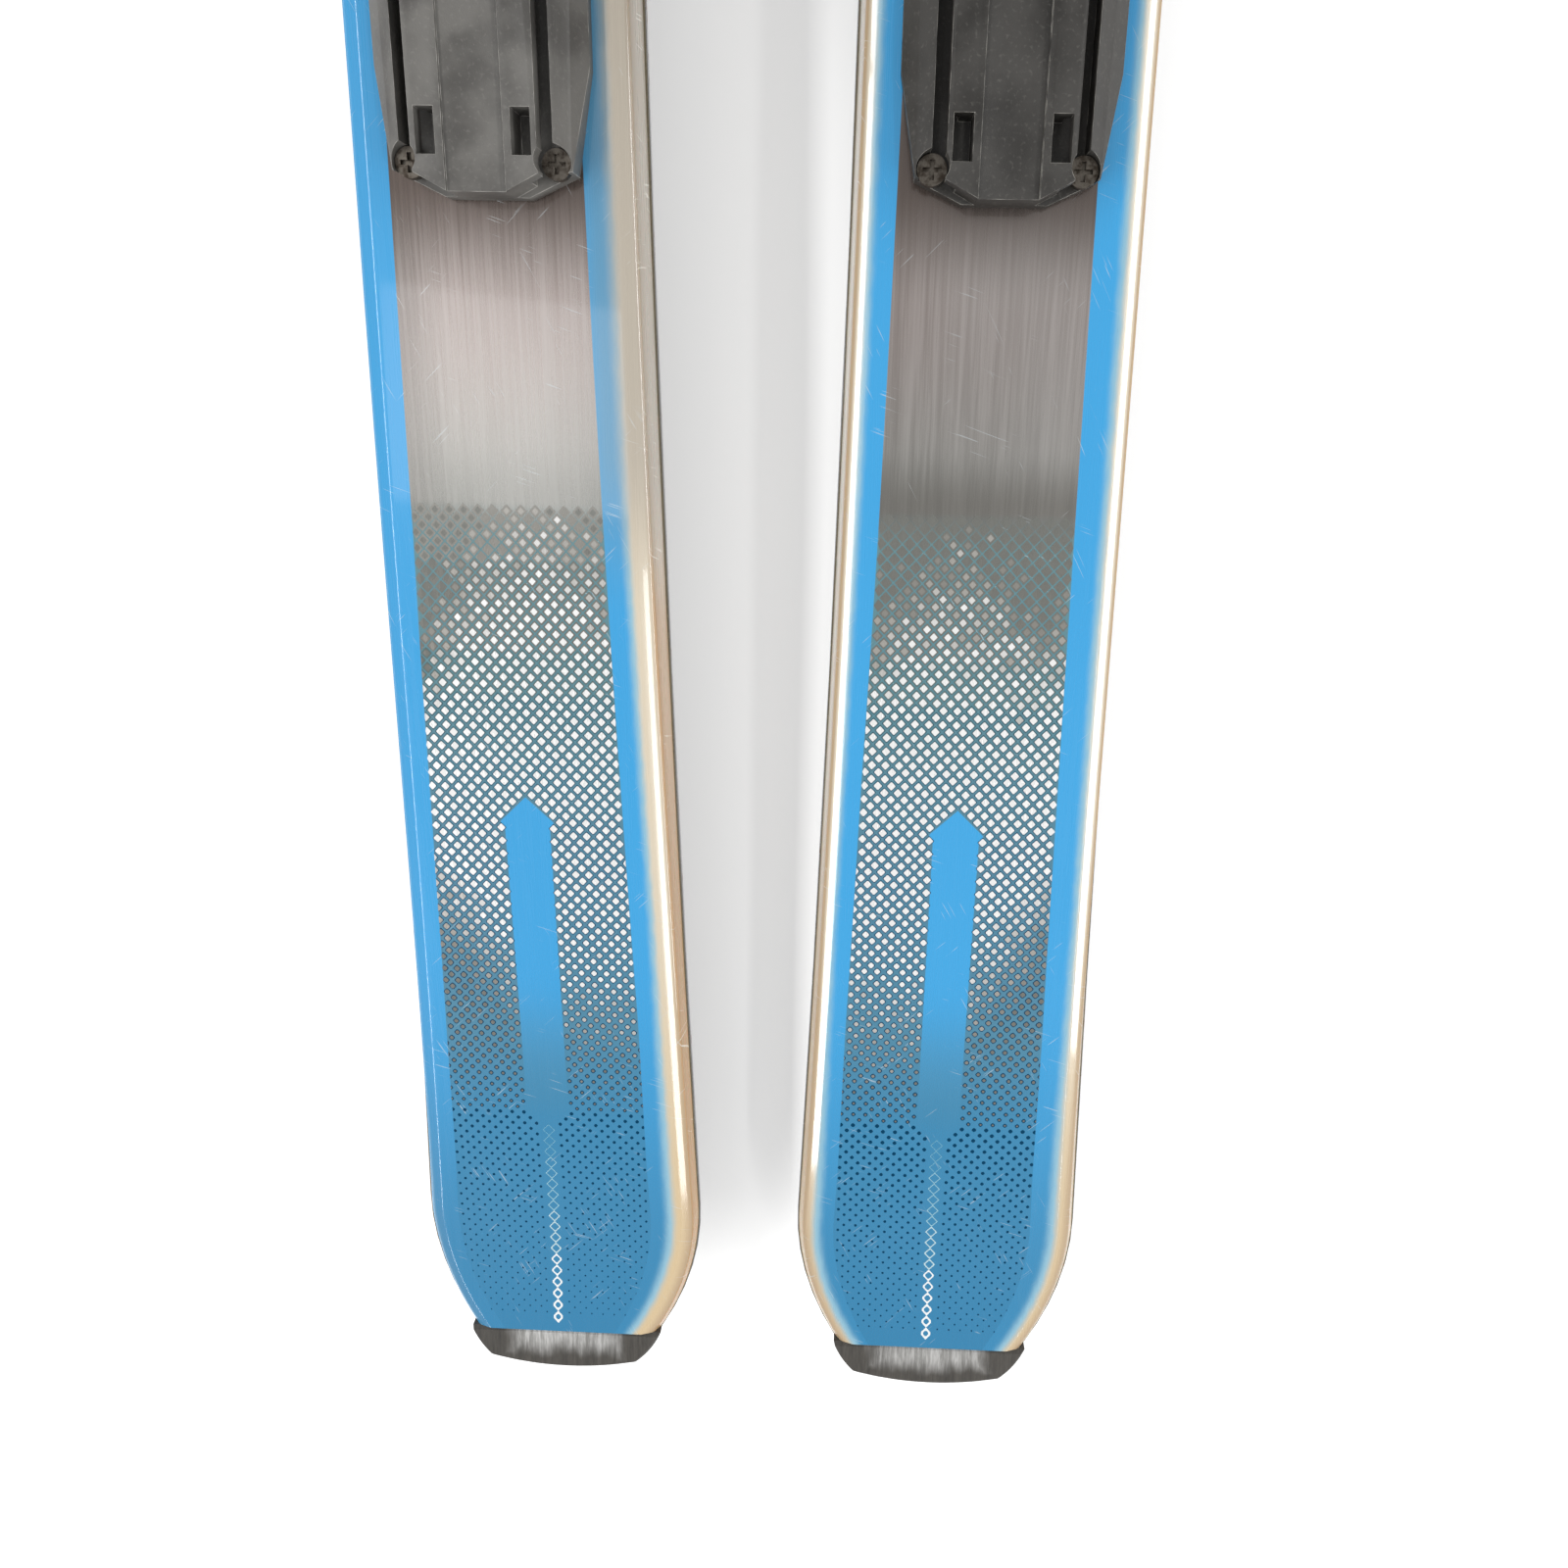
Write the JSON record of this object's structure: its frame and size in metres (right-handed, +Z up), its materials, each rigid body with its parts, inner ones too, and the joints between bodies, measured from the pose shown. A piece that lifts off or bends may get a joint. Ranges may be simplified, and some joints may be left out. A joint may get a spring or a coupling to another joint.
{
  "type": "alpine ski pair with bindings",
  "caption": "Alpine skis side by side, sidecut and cambered, with heel track, opening heel piece, folding brake and a toe piece with swinging wings on each.",
  "frame": {"origin": "below the middle of the pair, at the level of the brakes' feet", "axes": "+X to the right ski, +Y towards the tips, +Z up from the running base to the bindings"},
  "size_m": [0.2638, 1.59, 0.1498],
  "materials": {
    "running_base": "sintered, waxed",
    "steel_edge": "ground",
    "laminate": "glass fibre and resin",
    "wood_core": "planed",
    "sidewall": "translucent amber",
    "tip_spacer": "translucent amber",
    "top_sheet": "printed under clear gloss",
    "tail_protector": "brushed, scuffed",
    "track_plastic": "moulded, worn",
    "screw_steel": "zinc plated",
    "carriage_steel": "black coated",
    "housing_plastic": "moulded",
    "lever_plastic": "moulded",
    "spring_steel": "oiled",
    "release_screw": "moulded",
    "brake_plastic": "moulded",
    "brake_wire": "bright plated",
    "slider_plastic": "low friction"
  },
  "bodies": {
    "left_ski": {"left_running_base": "running_base", "left_steel_edges": "steel_edge", "left_lower_laminate": "laminate", "left_wood_core": "wood_core", "left_sidewalls": "sidewall", "left_tip_spacer": "tip_spacer", "left_top_sheet": "top_sheet", "left_tail_protector": "tail_protector", "left_heel_track": "track_plastic", "left_binding_screws": "screw_steel", "left_toe_base": "track_plastic", "left_toe_housing": "housing_plastic", "left_wing_pins": "screw_steel", "left_toe_spring": "spring_steel"},
    "left_heel_carriage": {"left_heel_carriage": "carriage_steel", "left_heel_pivot_pin": "screw_steel", "left_brake_plate": "brake_plastic"},
    "left_heel_housing": {"left_heel_housing": "housing_plastic", "left_heel_cup": "housing_plastic", "left_lever_pin": "screw_steel", "left_heel_spring": "spring_steel"},
    "left_heel_release_screw": {"left_heel_release_screw": "release_screw"},
    "left_heel_lever": {"left_heel_lever": "lever_plastic"},
    "left_brake": {"left_brake_arms": "brake_wire", "left_brake_feet": "brake_plastic", "left_brake_pedal": "brake_plastic"},
    "left_toe_wing_left": {"left_toe_wing_left": "lever_plastic"},
    "left_toe_wing_right": {"left_toe_wing_right": "lever_plastic"},
    "left_toe_slider": {"left_toe_slider": "slider_plastic"},
    "left_toe_release_screw": {"left_toe_release_screw": "release_screw"},
    "right_ski": {"right_running_base": "running_base", "right_steel_edges": "steel_edge", "right_lower_laminate": "laminate", "right_wood_core": "wood_core", "right_sidewalls": "sidewall", "right_tip_spacer": "tip_spacer", "right_top_sheet": "top_sheet", "right_tail_protector": "tail_protector", "right_heel_track": "track_plastic", "right_binding_screws": "screw_steel", "right_toe_base": "track_plastic", "right_toe_housing": "housing_plastic", "right_wing_pins": "screw_steel", "right_toe_spring": "spring_steel"},
    "right_heel_carriage": {"right_heel_carriage": "carriage_steel", "right_heel_pivot_pin": "screw_steel", "right_brake_plate": "brake_plastic"},
    "right_heel_housing": {"right_heel_housing": "housing_plastic", "right_heel_cup": "housing_plastic", "right_lever_pin": "screw_steel", "right_heel_spring": "spring_steel"},
    "right_heel_release_screw": {"right_heel_release_screw": "release_screw"},
    "right_heel_lever": {"right_heel_lever": "lever_plastic"},
    "right_brake": {"right_brake_arms": "brake_wire", "right_brake_feet": "brake_plastic", "right_brake_pedal": "brake_plastic"},
    "right_toe_wing_left": {"right_toe_wing_left": "lever_plastic"},
    "right_toe_wing_right": {"right_toe_wing_right": "lever_plastic"},
    "right_toe_slider": {"right_toe_slider": "slider_plastic"},
    "right_toe_release_screw": {"right_toe_release_screw": "release_screw"}
  },
  "joints": [
    {"name": "left_heel_adjustment", "type": "slide", "parent": "left_ski", "child": "left_heel_carriage", "axis": [0, 1, 0], "range_m": [-0.012, 0.012]},
    {"name": "left_heel_opening", "type": "hinge", "parent": "left_heel_carriage", "child": "left_heel_housing", "pos_m": [-0.07027, -0.2745, 0.086], "axis": [1, 0, 0], "range_deg": [0, 45]},
    {"name": "left_lever_throw", "type": "hinge", "parent": "left_heel_housing", "child": "left_heel_lever", "pos_m": [-0.07027, -0.2765, 0.115], "axis": [1, 0, 0], "range_deg": [0, 15]},
    {"name": "left_heel_screw_turn", "type": "hinge", "parent": "left_heel_housing", "child": "left_heel_release_screw", "pos_m": [-0.07027, -0.2849, 0.099], "axis": [0, 1, 0], "continuous": true},
    {"name": "left_brake_fold", "type": "hinge", "parent": "left_heel_carriage", "child": "left_brake", "pos_m": [-0.07027, -0.2045, 0.0785], "axis": [-1, 0, 0], "range_deg": [0, 63], "stiffness_Nm_per_rad": 1.5, "springref_deg": -91.67},
    {"name": "left_toe_wing_left_swing", "type": "hinge", "parent": "left_ski", "child": "left_toe_wing_left", "pos_m": [-0.08827, 0.0935, 0.088], "axis": [0, 0, -1], "range_deg": [0, 35], "stiffness_Nm_per_rad": 0.5, "springref_deg": -34.38},
    {"name": "left_toe_wing_right_swing", "type": "hinge", "parent": "left_ski", "child": "left_toe_wing_right", "pos_m": [-0.05227, 0.0935, 0.088], "axis": [0, 0, 1], "range_deg": [0, 35], "stiffness_Nm_per_rad": 0.5, "springref_deg": -34.38},
    {"name": "left_toe_slider_shift", "type": "slide", "parent": "left_ski", "child": "left_toe_slider", "axis": [1, 0, 0], "range_m": [-0.005, 0.005], "stiffness_N_per_m": 200},
    {"name": "left_toe_screw_turn", "type": "hinge", "parent": "left_ski", "child": "left_toe_release_screw", "pos_m": [-0.07027, 0.1361, 0.09], "axis": [0, 1, 0], "continuous": true},
    {"name": "right_heel_adjustment", "type": "slide", "parent": "right_ski", "child": "right_heel_carriage", "axis": [0, 1, 0], "range_m": [-0.012, 0.012]},
    {"name": "right_heel_opening", "type": "hinge", "parent": "right_heel_carriage", "child": "right_heel_housing", "pos_m": [0.07027, -0.2745, 0.086], "axis": [1, 0, 0], "range_deg": [0, 45]},
    {"name": "right_lever_throw", "type": "hinge", "parent": "right_heel_housing", "child": "right_heel_lever", "pos_m": [0.07027, -0.2765, 0.115], "axis": [1, 0, 0], "range_deg": [0, 15]},
    {"name": "right_heel_screw_turn", "type": "hinge", "parent": "right_heel_housing", "child": "right_heel_release_screw", "pos_m": [0.07027, -0.2849, 0.099], "axis": [0, 1, 0], "continuous": true},
    {"name": "right_brake_fold", "type": "hinge", "parent": "right_heel_carriage", "child": "right_brake", "pos_m": [0.07027, -0.2045, 0.0785], "axis": [-1, 0, 0], "range_deg": [0, 63], "stiffness_Nm_per_rad": 1.5, "springref_deg": -91.67},
    {"name": "right_toe_wing_left_swing", "type": "hinge", "parent": "right_ski", "child": "right_toe_wing_left", "pos_m": [0.05227, 0.0935, 0.088], "axis": [0, 0, -1], "range_deg": [0, 35], "stiffness_Nm_per_rad": 0.5, "springref_deg": -34.38},
    {"name": "right_toe_wing_right_swing", "type": "hinge", "parent": "right_ski", "child": "right_toe_wing_right", "pos_m": [0.08827, 0.0935, 0.088], "axis": [0, 0, 1], "range_deg": [0, 35], "stiffness_Nm_per_rad": 0.5, "springref_deg": -34.38},
    {"name": "right_toe_slider_shift", "type": "slide", "parent": "right_ski", "child": "right_toe_slider", "axis": [1, 0, 0], "range_m": [-0.005, 0.005], "stiffness_N_per_m": 200},
    {"name": "right_toe_screw_turn", "type": "hinge", "parent": "right_ski", "child": "right_toe_release_screw", "pos_m": [0.07027, 0.1361, 0.09], "axis": [0, 1, 0], "continuous": true},
    {"name": "right_ski_lift", "type": "slide", "parent": "left_ski", "child": "right_ski", "axis": [0, 0, 1], "range_m": [0, 0.3]}
  ],
  "couplings": [
    {"joint": "left_lever_throw", "follows": "left_heel_opening", "ratio": 0.333},
    {"joint": "right_lever_throw", "follows": "right_heel_opening", "ratio": 0.333}
  ]
}
